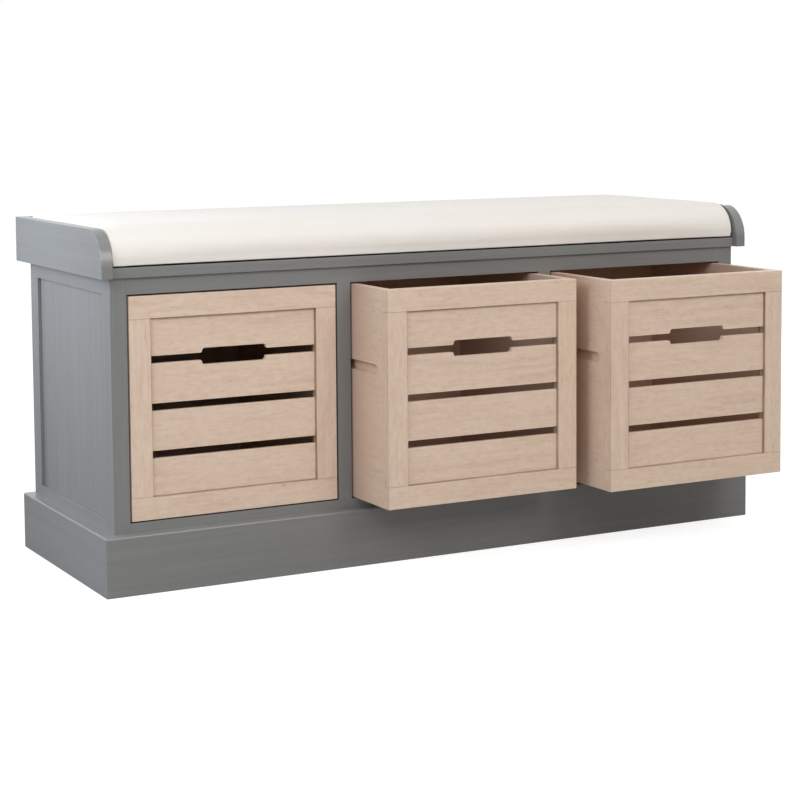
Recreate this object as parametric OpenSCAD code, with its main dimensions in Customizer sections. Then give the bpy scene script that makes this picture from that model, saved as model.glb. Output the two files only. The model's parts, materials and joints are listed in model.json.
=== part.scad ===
// Entryway storage bench with three slatted drawers and a loose seat cushion.
//
// A frame-and-panel case stands on four posts, with mitred base boards around its
// foot. Its three bays hold drawers that hang on wooden runners. A seat board with
// raised end boards, and a back rail as high as they are, close the top and keep
// the cushion in place.
//
// Millimetres. The origin is on the floor at the centre of the base, +X is to the
// right as the bench is faced, the drawers open towards -Y, and +Z is up.

/* [Overall] */
// Width over the base boards
base_w = 1070; // [860:10:1300]
// Depth from the front of the base to the back of the case
base_d = 362; // [330:2:440]
// Height from the floor to the top of the end boards
overall_h = 495; // [431:2:579]

/* [Base] */
// Height of the base boards
base_h = 81.5; // [62:0.5:100]
// Thickness of the base boards
base_t = 18; // [15:0.5:22]
// Radius of the eased top edge of the base boards
base_ease = 2.5; // [1:0.5:4]
// How far the bottom rails reach down behind the base boards
rail_lap = 20; // [17:1:30]

/* [Case] */
// Width of a corner post, seen from the front
post_w = 23.5; // [23:0.5:40]
// Depth of a corner post, seen from the side
post_d = 32; // [28:0.5:45]
// Thickness of the rails and of the stiles between the bays
rail_t = 18; // [16:0.5:20]
// Height of the top rails
top_rail_h = 23; // [22:0.5:40]
// Height of the front bottom rail that shows above the base
front_reveal = 13.5; // [12:0.5:30]
// Height of a side bottom rail that shows above the base
side_reveal = 15; // [12:0.5:30]
// Width of the stiles between the bays
mid_stile_w = 21; // [20:0.5:40]
// Thickness of the dividers
divider_t = 15; // [12:0.5:18]
// Thickness of the bottom board
bottom_t = 12; // [9:0.5:15]
// Thickness of the side panels
side_panel_t = 6; // [4:0.5:7]
// Distance from the face of the side frame back to its panel
side_panel_recess = 5; // [2:0.5:6]
// Thickness of the back panel
back_panel_t = 5; // [3:0.5:6]
// Width of the rebate in the rear posts that holds the back panel
back_rebate = 8; // [5:0.5:10]

/* [Seat] */
// Height of the end boards
end_board_h = 65.5; // [50:0.5:90]
// Thickness of the end boards
end_board_t = 16; // [14:0.5:22]
// Radius of the front top corner of the end boards
end_board_r = 50; // [20:1:50]
// Distance that the end boards stand out in front of the case
end_front = 14; // [8:0.5:25]
// Distance that the end boards stand out behind the case
end_rear = 17.5; // [17:0.5:40]
// Thickness of the seat board
seat_t = 14; // [14:0.5:22]
// Distance that the seat board stands out in front of the case
seat_front = 5; // [0:0.5:8]
// Thickness of the back rail
back_rail_t = 15.5; // [12:0.5:16]
// Distance from the top of the end boards down to the top of the back rail
back_rail_drop = 0; // [0:0.5:15]

/* [Cushion] */
// Height that the cushion stands above the end boards
cushion_proud = 3; // [0:0.5:20]
// Radius of the front top edge of the cushion
cushion_front_r = 46; // [10:1:46]
// Radius of the rear top edge of the cushion
cushion_rear_r = 14; // [5:1:25]
// Gap between the cushion and the boards around it
cushion_gap = 1.5; // [1:0.5:6]
// Gap under the cushion
cushion_lift = 0.3; // [0.3:0.1:1]
// Thickness of the cushion's cover
cover_t = 1.5; // [1:0.1:3]

/* [Drawers] */
// Gap at each side of a drawer front
drawer_gap = 2.5; // [0.8:0.1:3]
// Gap above a drawer front
drawer_top_gap = 2.5; // [0.8:0.1:3]
// Gap below a drawer front
drawer_bottom_gap = 2; // [0.8:0.1:3]
// Gap between a shut drawer and the back panel
drawer_back_room = 9; // [4:0.5:60]
// Thickness of the drawer's front frame
frame_t = 16; // [15:0.5:20]
// Width of the members of the front frame
member_w = 31.5; // [28:0.5:45]
// Number of slats in a drawer front, with the grip between the upper two
slats = 4; // [3:1:5]
// Thickness of the slats
slat_t = 7; // [5:0.5:8]
// Distance from the face of the frame back to the slats
slat_recess = 4; // [1:0.5:4]
// Gap between two slats
slat_gap = 10.5; // [4:0.5:12]
// Depth that the outer slats reach into the rails of the frame
slat_tuck = 3.1; // [1:0.1:5]
// Width of the hand grip
grip_w = 96; // [70:1:120]
// Height of the hand grip
grip_h = 23; // [18:0.5:26]
// Radius of the grip's corners
grip_r = 4; // [1:0.5:5]
// Radius of the slats' own corners at the grip
grip_ease = 2.5; // [0.5:0.5:3]
// Thickness of the drawer's sides and back
side_t = 12; // [11:0.5:15]
// Thickness of the drawer's bottom
drawer_bottom_t = 5; // [3:0.5:8]
// Distance from the top of the sides down to the top of the drawer's back
drawer_back_drop = 12; // [0:1:30]

/* [Runners] */
// Height of the runner groove in the drawer's sides
groove_h = 14.5; // [12:0.5:20]
// Depth of the runner groove
groove_depth = 6; // [4:0.5:6]
// Height of the middle of the groove above the drawer's bottom
groove_up = 192.5; // [60:0.5:200]
// Distance from the drawer's face back to the round end of the groove
groove_start = 30; // [24:0.5:30]
// Gap between a runner and the bottom of its groove
runner_side_gap = 1; // [0.8:0.1:2]
// Gap above and below a runner in its groove
runner_gap = 0.4; // [0.3:0.1:0.8]
// Gap between the round ends of groove and runner when the drawer is shut
stop_gap = 0.5; // [0.3:0.1:1]

/* [Pose] */
// Distance that each drawer stands open: left, centre, right
pulled = [0, 108, 158]; // [0:1:230]

/* [Hidden] */
BAYS = ["left", "centre", "right"];
CASE_NODES = [
    "base_front_board", "base_left_board", "base_right_board", "base_back_board",
    "base_centre_brace", "bottom_cleats", "bottom_board",
    "front_left_post", "front_right_post", "rear_left_post", "rear_right_post",
    "left_side_rails", "right_side_rails", "left_side_panel", "right_side_panel",
    "front_top_rail", "front_bottom_rail", "front_mid_stiles", "left_divider",
    "right_divider", "back_panel", "rear_top_rail", "outer_runners",
    "divider_runners", "runner_screws", "seat_board", "left_end_board",
    "right_end_board", "back_rail", "seat_dowels", "seat_screws",
    "cushion_cover", "cushion_foam"
];
DRAWER_NODES = [
    "front_top_rail", "front_bottom_rail", "front_stiles", "grip_slats",
    "plain_slats", "left_side", "right_side", "back", "bottom"
];
$fn = 64;

// A cut runs this far past a face, so that no skin is left.
past = 1;

// Heights
case_top = overall_h - end_board_h;
seat_top = case_top + seat_t;
top_rail_z = case_top - top_rail_h;
rail_foot = base_h - rail_lap;
bay_floor = base_h + front_reveal;
side_sill = base_h + side_reveal;
bottom_z = bay_floor - bottom_t;

// Widths: half sizes are measured from the middle of the bench.
half_base = base_w / 2;
half_case = half_base - base_t;
half_bays = half_case - post_w;
opening_w = (2 * half_bays - 2 * mid_stile_w) / 3;
bay_pitch = opening_w + mid_stile_w;
divider_x = bay_pitch / 2;
rail_in = half_case - rail_t;

// Depths
case_front = base_t - base_d / 2;
case_back = base_d / 2;
rail_back = case_front + rail_t;
panel_face = case_back - back_panel_t;
rear_rail_front = panel_face - rail_t;
front_rail_y = (case_front + rail_back) / 2;
rear_rail_y = (rear_rail_front + panel_face) / 2;
front_post_back = case_front + post_d;
rear_post_front = case_back - post_d;

// Joints in the case
tenon_l = 10;
tenon_t = 8;
tenon_shoulder = 4;
tenon_end_gap = 0.5;
tongue = 6;
tongue_room = 7;
stub = 8;
housing = 5;
floor_housing = 3;
groove_x = side_panel_recess;

// Cleats under the bottom board
cleat = 18;
cleat_gap = 2;
brace_t = 18;

// Seat
end_front_y = case_front - end_front;
end_rear_y = case_back + end_rear;
back_rail_y = end_rear_y - back_rail_t;
seat_front_y = case_front - seat_front;
cushion_foot = seat_top + cushion_lift;
cushion_top = overall_h + cushion_proud;
// A round corner is never larger than the board or cushion that it is cut from.
end_corner_r = min(end_board_r, end_board_h);
cushion_nose_r = min(cushion_front_r, cushion_top - cushion_foot);

// Fasteners: every hole is a little wider than what it holds.
hole_room = 0.1;
dowel_r = 4;
dowel_l = 30;
dowel_in_board = 12;
screw_r = 1.75;
screw_head_r = 3.5;
screw_head_h = 2.2;
screw_bite = 6;
slot_w = 0.9;
slot_depth = 0.9;
runner_screw_count = 3;
seat_screw_sink = 8;
seat_screw_bite = 10;
seat_head_r = 4.2;
seat_head_h = 2.5;
end_dowel_pitch = 120;
end_dowel_count = 3;
back_dowel_count = 4;
back_dowel_pitch = (2 * half_case) / back_dowel_count;

// Drawers
opening_h = top_rail_z - bay_floor;
drawer_w = opening_w - 2 * drawer_gap;
drawer_h = opening_h - drawer_top_gap - drawer_bottom_gap;
drawer_l = panel_face - case_front - drawer_back_room;
half_drawer = drawer_w / 2;
half_frame = half_drawer - member_w;
side_in = half_drawer - side_t;
slat_field = drawer_h - 2 * member_w + 2 * slat_tuck;
slat_h = (slat_field - (slats - 1) * slat_gap) / slats;
slat_z0 = member_w - slat_tuck;
slat_pitch = slat_h + slat_gap;
grip_z = slat_z0 + (slats - 1) * slat_pitch - slat_gap / 2;
stile_tenon_w = 14;
side_tongue = 5;
side_tongue_t = 6;
side_tongue_short = 8;
back_dado = 4;
groove_r = groove_h / 2;

// Runners
runner_h = groove_h - 2 * runner_gap;
runner_r = runner_h / 2;
runner_z = bay_floor + drawer_bottom_gap + groove_up;
runner_front = case_front + groove_start + stop_gap;
runner_end = panel_face - 6;
runner_l = runner_end - runner_front;
runner_reach = drawer_gap + groove_depth - runner_side_gap;
divider_runner_t = mid_stile_w / 2 - divider_t / 2 + runner_reach;
outer_nose_x = half_bays - runner_reach;
outer_tenon_skin = 1.5;
outer_tenon_t = min(6, rail_in - half_bays - outer_tenon_skin);
outer_tenon_h = 9;

grey_paint = [0.49, 0.48, 0.47];
grey_inside = [0.42, 0.41, 0.40];
pale_wood = [0.80, 0.69, 0.60];
drawer_inside = [0.70, 0.58, 0.49];
runner_wood = [0.72, 0.60, 0.46];
dowel_wood = [0.78, 0.66, 0.48];
steel = [0.72, 0.72, 0.74];
cream = [0.93, 0.92, 0.90];
foam_yellow = [0.93, 0.87, 0.66];

// ---------- helpers ----------

// A box from its lowest corner to its highest.
module span(low, high) {
    translate(low) cube(high - low);
}

// The same piece on the left and on the right.
module both_sides() {
    children();
    mirror([1, 0, 0]) children();
}

module on_left() {
    mirror([1, 0, 0]) children();
}

// An outline in the Y-Z plane, drawn as [y, z], pushed along X from x0 to x1.
module along_x(x0, x1) {
    translate([x0, 0, 0]) rotate([90, 0, 90]) linear_extrude(x1 - x0) children();
}

// What to take off a square corner at the origin, with its board in the first
// quadrant, to leave a quarter circle of radius r.
module corner_waste(r) {
    difference() {
        translate([-past, -past]) square(r + past);
        translate([r, r]) circle(r);
    }
}

// A peg or the hole for one, along X from x0 to x1.
module rod_x(x0, x1, r) {
    translate([x0, 0, 0]) rotate([0, 90, 0]) cylinder(r = r, h = x1 - x0);
}

// A peg or the hole for one, along Y from y0 to y1.
module rod_y(y0, y1, r) {
    translate([0, y1, 0]) rotate([90, 0, 0]) cylinder(r = r, h = y1 - y0);
}

// ---------- base ----------

// The section of a base board, with its outer top edge eased: y is the distance
// in from the outer face.
module base_section() {
    difference() {
        square([base_t, base_h]);
        translate([0, base_h]) mirror([0, 1]) corner_waste(base_ease);
    }
}

// The front board and the side boards meet on a mitre at each front corner.
module base_front_board() {
    color(grey_paint) intersection() {
        linear_extrude(base_h) polygon([
            [-half_base, -case_back], [half_base, -case_back],
            [half_case, case_front], [-half_case, case_front]
        ]);
        translate([0, -case_back, 0]) along_x(-half_base, half_base) base_section();
    }
}

module base_right_board() {
    color(grey_paint) intersection() {
        linear_extrude(base_h) polygon([
            [half_base, -case_back], [half_base, case_back],
            [half_case, case_back], [half_case, case_front]
        ]);
        translate([half_base, 0, 0]) rotate([0, 0, 90])
            along_x(-case_back, case_back) base_section();
    }
}

module base_left_board() {
    on_left() base_right_board();
}

module base_back_board() {
    color(grey_inside) {
        span([-half_bays, rear_rail_front, 0], [half_bays, panel_face, bottom_z]);
        both_sides() rail_tenon(rear_rail_y, 0, bottom_z);
    }
}

module base_centre_brace() {
    color(grey_inside) difference() {
        span([-brace_t / 2, case_front, 0], [brace_t / 2, rear_rail_front, bottom_z]);
        span([-brace_t, case_front - past, rail_foot],
             [brace_t, rail_back, bottom_z + past]);
        span([-brace_t, case_front - past, bottom_z - cleat],
             [brace_t, rail_back + cleat, bottom_z + past]);
    }
}

module bottom_cleats() {
    color(grey_inside) {
        span([-half_bays, rail_back, bottom_z - cleat],
             [half_bays, rail_back + cleat, bottom_z]);
        both_sides()
            span([rail_in - cleat, rail_back + cleat + cleat_gap, bottom_z - cleat],
                 [rail_in, rear_post_front, bottom_z]);
    }
}

// ---------- case ----------

// A tenon at the right end of a rail whose middle is at y, and the mortise for it
// when grow is above 0.
module rail_tenon(y, z0, z1, grow = 0) {
    span([half_bays - grow, y - tenon_t / 2, z0 + tenon_shoulder],
         [half_bays + tenon_l + grow, y + tenon_t / 2, z1 - tenon_shoulder]);
}

// The tenons of the side rails and the edge of the side panel run in one groove.
module side_slot(y0, y1, z0, z1) {
    span([half_case - groove_x - side_panel_t, y0, z0],
         [half_case - groove_x, y1, z1]);
}

// The slot that a post holds for its side rails and panel. It goes from the post's
// inner face, at y, into the post along dir.
module post_slot(y, dir) {
    deep = y + dir * (tenon_l + tenon_end_gap);
    shallow = y + dir * tongue_room;
    out = y - dir * past;
    side_slot(min(out, deep), max(out, deep),
              rail_foot + tenon_shoulder, side_sill - tongue_room);
    side_slot(min(out, shallow), max(out, shallow),
              side_sill - tongue_room, top_rail_z + tongue_room);
    side_slot(min(out, deep), max(out, deep),
              top_rail_z + tongue_room, case_top - tenon_shoulder);
}

// The tenons of an outer runner, or the mortises for them.
module runner_tenon(y0, y1) {
    span([rail_in - outer_tenon_t, y0, runner_z - outer_tenon_h / 2],
         [rail_in, y1, runner_z + outer_tenon_h / 2]);
}

module front_right_post() {
    color(grey_paint) difference() {
        span([half_bays, case_front, 0], [half_case, front_post_back, case_top]);
        rail_tenon(front_rail_y, top_rail_z, case_top, tenon_end_gap);
        rail_tenon(front_rail_y, rail_foot, bay_floor, tenon_end_gap);
        post_slot(front_post_back, -1);
        runner_tenon(front_post_back - stub - tenon_end_gap, front_post_back + past);
    }
}

module front_left_post() {
    on_left() front_right_post();
}

module rear_right_post() {
    color(grey_paint) difference() {
        span([half_bays, rear_post_front, 0], [half_case, case_back, case_top]);
        rail_tenon(rear_rail_y, top_rail_z, case_top, tenon_end_gap);
        rail_tenon(rear_rail_y, 0, bottom_z, tenon_end_gap);
        post_slot(rear_post_front, 1);
        runner_tenon(rear_post_front - past, rear_post_front + stub + tenon_end_gap);
        span([half_bays - past, panel_face, rail_foot],
             [half_bays + back_rebate, case_back + past, case_top + past]);
    }
}

module rear_left_post() {
    on_left() rear_right_post();
}

module right_side_rails() {
    color(grey_paint) {
        difference() {
            span([rail_in, front_post_back, top_rail_z],
                 [half_case, rear_post_front, case_top]);
            side_slot(front_post_back - past, rear_post_front + past,
                      top_rail_z - past, top_rail_z + tongue_room);
        }
        difference() {
            span([rail_in, front_post_back, rail_foot],
                 [half_case, rear_post_front, side_sill]);
            side_slot(front_post_back - past, rear_post_front + past,
                      side_sill - tongue_room, side_sill + past);
        }
        for (y = [front_post_back - tenon_l, rear_post_front]) {
            side_slot(y, y + tenon_l,
                      top_rail_z + tongue_room, case_top - tenon_shoulder);
            side_slot(y, y + tenon_l,
                      rail_foot + tenon_shoulder, side_sill - tongue_room);
        }
    }
}

module left_side_rails() {
    on_left() right_side_rails();
}

module right_side_panel() {
    color(grey_paint)
        side_slot(front_post_back - tongue, rear_post_front + tongue,
                  side_sill - tongue, top_rail_z + tongue);
}

module left_side_panel() {
    on_left() right_side_panel();
}

// A stub tenon on a stile between the bays, or the mortise for one.
module stile_stub(x, z0, z1) {
    w = mid_stile_w - 2 * tenon_shoulder;
    span([x - w / 2, front_rail_y - tenon_t / 2, z0],
         [x + w / 2, front_rail_y + tenon_t / 2, z1]);
}

module seat_screw_hole(x, y) {
    translate([x, y, top_rail_z - past]) {
        cylinder(r = screw_r + hole_room, h = top_rail_h + 2 * past);
        cylinder(r = seat_head_r + hole_room, h = seat_screw_sink + past);
    }
}

module front_top_rail() {
    color(grey_paint) {
        difference() {
            span([-half_bays, case_front, top_rail_z], [half_bays, rail_back, case_top]);
            for (x = [-divider_x, divider_x])
                stile_stub(x, top_rail_z - past, top_rail_z + stub + tenon_end_gap);
            for (i = [-1:1]) seat_screw_hole(i * bay_pitch, front_rail_y);
        }
        both_sides() rail_tenon(front_rail_y, top_rail_z, case_top);
    }
}

module front_bottom_rail() {
    color(grey_paint) {
        difference() {
            span([-half_bays, case_front, rail_foot], [half_bays, rail_back, bay_floor]);
            for (x = [-divider_x, divider_x])
                stile_stub(x, bay_floor - stub - tenon_end_gap, bay_floor + past);
        }
        both_sides() rail_tenon(front_rail_y, rail_foot, bay_floor);
    }
}

module front_mid_stiles() {
    color(grey_paint) for (x = [-divider_x, divider_x]) {
        difference() {
            span([x - mid_stile_w / 2, case_front, bay_floor],
                 [x + mid_stile_w / 2, rail_back, top_rail_z]);
            span([x - divider_t / 2, rail_back - housing, bay_floor - past],
                 [x + divider_t / 2, rail_back + past, top_rail_z + past]);
        }
        // The housing leaves the stubs whole, because they end in front of it.
        stile_stub(x, bay_floor - stub, bay_floor);
        stile_stub(x, top_rail_z, top_rail_z + stub);
    }
}

module right_divider() {
    color(grey_inside) translate([divider_x, 0, 0]) difference() {
        union() {
            span([-divider_t / 2, rail_back, bay_floor - floor_housing],
                 [divider_t / 2, panel_face, case_top]);
            span([-divider_t / 2, rail_back - housing, bay_floor],
                 [divider_t / 2, rail_back, top_rail_z]);
        }
        span([-divider_t, rear_rail_front, top_rail_z],
             [divider_t, panel_face + past, case_top + past]);
        both_sides() at_runner_screws()
            countersunk(divider_runner_t + screw_bite + hole_room, hole_room);
    }
}

module left_divider() {
    on_left() right_divider();
}

module bottom_board() {
    color(grey_inside) difference() {
        span([-rail_in, rail_back, bottom_z], [rail_in, panel_face, bay_floor]);
        both_sides() {
            span([half_bays, rail_back - past, bottom_z - past],
                 [rail_in + past, front_post_back, bay_floor + past]);
            span([half_bays, rear_post_front, bottom_z - past],
                 [rail_in + past, panel_face + past, bay_floor + past]);
            span([divider_x - divider_t / 2, rail_back - past, bay_floor - floor_housing],
                 [divider_x + divider_t / 2, panel_face + past, bay_floor + past]);
        }
    }
}

module back_panel() {
    color(grey_inside)
        span([-half_bays - back_rebate, panel_face, rail_foot],
             [half_bays + back_rebate, case_back, case_top]);
}

module rear_top_rail() {
    color(grey_inside) {
        difference() {
            span([-half_bays, rear_rail_front, top_rail_z],
                 [half_bays, panel_face, case_top]);
            for (i = [-1:1]) seat_screw_hole(i * bay_pitch, rear_rail_y);
        }
        both_sides() rail_tenon(rear_rail_y, top_rail_z, case_top);
    }
}

// ---------- runners ----------

// A runner strip with a round front end, from x0 to x1.
module runner_strip(x0, x1) {
    translate([0, runner_front + runner_r, runner_z]) rod_x(x0, x1, runner_r);
    span([x0, runner_front + runner_r, runner_z - runner_r],
         [x1, runner_end, runner_z + runner_r]);
}

// The outer runners are housed between the posts, and only a nose stands out into
// the bay.
module outer_runners() {
    color(runner_wood) both_sides() {
        runner_strip(outer_nose_x, half_bays);
        span([half_bays, front_post_back, runner_z - runner_r],
             [rail_in, rear_post_front, runner_z + runner_r]);
        runner_tenon(front_post_back - stub, front_post_back);
        runner_tenon(rear_post_front, rear_post_front + stub);
    }
}

function runner_screw_ys() = [
    for (i = [0:runner_screw_count - 1])
        runner_front + runner_l * (i + 0.5) / runner_screw_count
];

// A countersunk screw along +X, with its head's flat face at x = 0. With room
// above 0 it is the hole for one.
module countersunk(length, room = 0) {
    rod_x(-room, length, screw_r + room);
    rotate([0, 90, 0])
        cylinder(r1 = screw_head_r + room, r2 = screw_r + room, h = screw_head_h);
    if (room > 0) rod_x(-past, 0.01, screw_head_r + room);
}

// Children are placed at each screw of one runner, with the screw's head at the
// origin and its point towards +X. The divider is at x = 0 and the bay is on its
// -X side.
module at_runner_screws() {
    for (y = runner_screw_ys())
        translate([-divider_t / 2 - divider_runner_t, y, runner_z]) children();
}

// Both faces of both dividers carry a runner.
module at_divider_faces() {
    for (x = [-divider_x, divider_x]) translate([x, 0, 0]) both_sides() children();
}

module divider_runners() {
    color(runner_wood) at_divider_faces() difference() {
        runner_strip(-divider_t / 2 - divider_runner_t, -divider_t / 2);
        at_runner_screws() countersunk(divider_runner_t + past, hole_room);
    }
}

module runner_screws() {
    color(steel) at_divider_faces() at_runner_screws() difference() {
        countersunk(divider_runner_t + screw_bite);
        span([-past, -slot_w / 2, -screw_head_r - past],
             [slot_depth, slot_w / 2, screw_head_r + past]);
    }
}

// ---------- seat ----------

// Children are placed at each dowel between the seat board and an end board, with
// the joint at x = 0 and the end board on the +X side.
module at_end_dowels() {
    for (i = [0:end_dowel_count - 1])
        translate([half_case, (i - (end_dowel_count - 1) / 2) * end_dowel_pitch,
                   case_top + seat_t / 2])
            children();
}

// Children are placed at each dowel between the seat board and the back rail.
module at_back_dowels() {
    for (i = [0:back_dowel_count - 1])
        translate([(i - (back_dowel_count - 1) / 2) * back_dowel_pitch, back_rail_y,
                   case_top + seat_t / 2])
            children();
}

module end_dowel_holes() {
    at_end_dowels()
        rod_x(dowel_in_board - dowel_l - tenon_end_gap, dowel_in_board + tenon_end_gap,
              dowel_r + hole_room);
}

module back_dowel_holes() {
    at_back_dowels()
        rod_y(dowel_in_board - dowel_l - tenon_end_gap, dowel_in_board + tenon_end_gap,
              dowel_r + hole_room);
}

module seat_board() {
    color(grey_paint) difference() {
        span([-half_case, seat_front_y, case_top], [half_case, back_rail_y, seat_top]);
        both_sides() end_dowel_holes();
        back_dowel_holes();
        at_seat_screws()
            translate([0, 0, top_rail_h - past])
                cylinder(r = screw_r + hole_room, h = seat_screw_bite + past + hole_room);
    }
}

module right_end_board() {
    color(grey_paint) difference() {
        along_x(half_case, half_case + end_board_t) difference() {
            translate([end_front_y, case_top])
                square([end_rear_y - end_front_y, end_board_h]);
            translate([end_front_y, overall_h]) mirror([0, 1]) corner_waste(end_corner_r);
        }
        end_dowel_holes();
    }
}

module left_end_board() {
    on_left() right_end_board();
}

module back_rail() {
    color(grey_paint) difference() {
        span([-half_case, back_rail_y, case_top],
             [half_case, end_rear_y, overall_h - back_rail_drop]);
        back_dowel_holes();
    }
}

module seat_dowels() {
    color(dowel_wood) {
        both_sides() at_end_dowels()
            rod_x(dowel_in_board - dowel_l, dowel_in_board, dowel_r);
        at_back_dowels() rod_y(dowel_in_board - dowel_l, dowel_in_board, dowel_r);
    }
}

// Children are placed at each screw, on the underside of its rail.
module at_seat_screws() {
    for (i = [-1:1])
        for (y = [front_rail_y, rear_rail_y])
            translate([i * bay_pitch, y, top_rail_z]) children();
}

module seat_screws() {
    color(steel) at_seat_screws()
        translate([0, 0, seat_screw_sink - seat_head_h]) difference() {
            union() {
                cylinder(r = seat_head_r, h = seat_head_h);
                cylinder(r = screw_r,
                         h = seat_head_h + top_rail_h - seat_screw_sink + seat_screw_bite);
            }
            span([-slot_w / 2, -seat_head_r - past, -past],
                 [slot_w / 2, seat_head_r + past, slot_depth]);
        }
}

// ---------- cushion ----------

// The cushion's section in the Y-Z plane, drawn in from its outside by inset.
module cushion_section(inset) {
    y0 = seat_front_y + inset;
    y1 = back_rail_y - cushion_gap - inset;
    z0 = cushion_foot + inset;
    z1 = cushion_top - inset;
    difference() {
        translate([y0, z0]) square([y1 - y0, z1 - z0]);
        translate([y0, z1]) mirror([0, 1]) corner_waste(cushion_nose_r - inset);
        translate([y1, z1]) rotate(180) corner_waste(cushion_rear_r - inset);
    }
}

module cushion_block(inset) {
    half = half_case - cushion_gap - inset;
    along_x(-half, half) cushion_section(inset);
}

module cushion_cover() {
    color(cream) difference() {
        cushion_block(0);
        cushion_block(cover_t);
    }
}

module cushion_foam() {
    color(foam_yellow) cushion_block(cover_t);
}

// ---------- drawers ----------
// A drawer is drawn with its face at y = 0, its underside at z = 0 and its middle
// at x = 0, and at_drawer puts it in its bay.

module at_drawer(bay) {
    translate([(bay - 1) * bay_pitch, case_front - pulled[bay],
               bay_floor + drawer_bottom_gap])
        children();
}

// The groove that holds the slats and the stiles' tenons in the two rails.
module frame_rail(z0, groove_z) {
    half_groove = half_frame + stile_tenon_w;
    difference() {
        span([-half_drawer, 0, z0], [half_drawer, frame_t, z0 + member_w]);
        span([-half_groove, slat_recess, groove_z],
             [half_groove, slat_recess + slat_t, groove_z + tongue_room + past]);
    }
}

module drawer_front_top_rail() {
    z0 = drawer_h - member_w;
    color(pale_wood) frame_rail(z0, z0 - past);
}

module drawer_front_bottom_rail() {
    color(pale_wood) frame_rail(0, member_w - tongue_room);
}

module drawer_front_stiles() {
    color(pale_wood) both_sides() {
        difference() {
            span([half_frame, 0, member_w], [half_drawer, frame_t, drawer_h - member_w]);
            span([half_frame - past, slat_recess, member_w - past],
                 [half_frame + tongue_room, slat_recess + slat_t,
                  drawer_h - member_w + past]);
            side_tongue_block(tenon_end_gap);
        }
        for (z = [member_w - tongue, drawer_h - member_w])
            span([half_frame + tongue_room, slat_recess, z],
                 [half_frame + stile_tenon_w, slat_recess + slat_t, z + tongue]);
    }
}

// The tongue at the front of a drawer side, or the housing for it.
module side_tongue_block(room = 0) {
    short = member_w + side_tongue_short;
    span([side_in, frame_t - side_tongue - room, short - room],
         [side_in + side_tongue_t, frame_t + room, drawer_h - short + room]);
}

module slat(i) {
    half = half_frame + tongue;
    span([-half, slat_recess, slat_z0 + i * slat_pitch],
         [half, slat_recess + slat_t, slat_z0 + i * slat_pitch + slat_h]);
}

// The outline of the hand grip, with the slats' corners rounded where the gap
// between them meets it.
module grip_outline() {
    w = grip_w / 2 - grip_r;
    h = grip_h / 2 - grip_r;
    square([grip_w, 2 * h], center = true);
    square([2 * w, grip_h], center = true);
    for (x = [-w, w]) for (z = [-h, h]) translate([x, z]) circle(grip_r);
    for (sx = [0, 1]) for (sz = [0, 1]) mirror([sx, 0]) mirror([0, sz])
        translate([grip_w / 2, slat_gap / 2]) intersection() {
            corner_waste(grip_ease);
            translate([-past / 2, -past / 2]) square(grip_ease + past / 2);
        }
}

module drawer_grip_slats() {
    color(pale_wood) difference() {
        for (i = [slats - 2, slats - 1]) slat(i);
        translate([0, slat_recess + slat_t + past, grip_z]) rotate([90, 0, 0])
            linear_extrude(slat_t + 2 * past) grip_outline();
    }
}

module drawer_plain_slats() {
    color(pale_wood) for (i = [0:slats - 3]) slat(i);
}

module drawer_right_side() {
    color(drawer_inside) {
        difference() {
            span([side_in, frame_t, drawer_bottom_t], [half_drawer, drawer_l, drawer_h]);
            translate([0, groove_start + groove_r, groove_up])
                rod_x(half_drawer - groove_depth, half_drawer + past, groove_r);
            span([half_drawer - groove_depth, groove_start + groove_r, groove_up - groove_r],
                 [half_drawer + past, drawer_l + past, groove_up + groove_r]);
            span([side_in - past, drawer_l - side_t, drawer_bottom_t - past],
                 [side_in + back_dado, drawer_l + past, drawer_h - drawer_back_drop]);
        }
        side_tongue_block();
    }
}

module drawer_left_side() {
    on_left() drawer_right_side();
}

module drawer_back() {
    color(drawer_inside)
        span([-side_in - back_dado, drawer_l - side_t, drawer_bottom_t],
             [side_in + back_dado, drawer_l, drawer_h - drawer_back_drop]);
}

module drawer_bottom() {
    color(drawer_inside)
        span([-half_drawer, frame_t, 0], [half_drawer, drawer_l, drawer_bottom_t]);
}

module drawer_piece(piece) {
    if (piece == "front_top_rail") drawer_front_top_rail();
    if (piece == "front_bottom_rail") drawer_front_bottom_rail();
    if (piece == "front_stiles") drawer_front_stiles();
    if (piece == "grip_slats") drawer_grip_slats();
    if (piece == "plain_slats") drawer_plain_slats();
    if (piece == "left_side") drawer_left_side();
    if (piece == "right_side") drawer_right_side();
    if (piece == "back") drawer_back();
    if (piece == "bottom") drawer_bottom();
}

// ---------- assembly ----------

base_front_board();
base_left_board();
base_right_board();
base_back_board();
base_centre_brace();
bottom_cleats();
bottom_board();
front_left_post();
front_right_post();
rear_left_post();
rear_right_post();
left_side_rails();
right_side_rails();
left_side_panel();
right_side_panel();
front_top_rail();
front_bottom_rail();
front_mid_stiles();
left_divider();
right_divider();
back_panel();
rear_top_rail();
outer_runners();
divider_runners();
runner_screws();
seat_board();
left_end_board();
right_end_board();
back_rail();
seat_dowels();
seat_screws();
cushion_cover();
cushion_foam();

for (bay = [0:2]) for (piece = DRAWER_NODES)
    at_drawer(bay) drawer_piece(piece);
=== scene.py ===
# %% [markdown]
# # An entryway storage bench
#
# The bench is a painted case with three slatted drawers and a loose cushion. Its joinery was
# designed in CAD, so the shapes and places of all the boards are settled before Blender starts.
# What is left is what the eye judges: eased edges, grain that follows each board, brushed
# paint, pale washed wood and a padded cushion.
#
# The first cell loads the CAD model. Everything after it is placed from that frame, in metres:
# +X is to the right, the drawers open towards -Y, and +Z is up.

# %% Load the frame
import json
import math

import bpy
import numpy as np
from mathutils import Matrix, Vector


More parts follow.
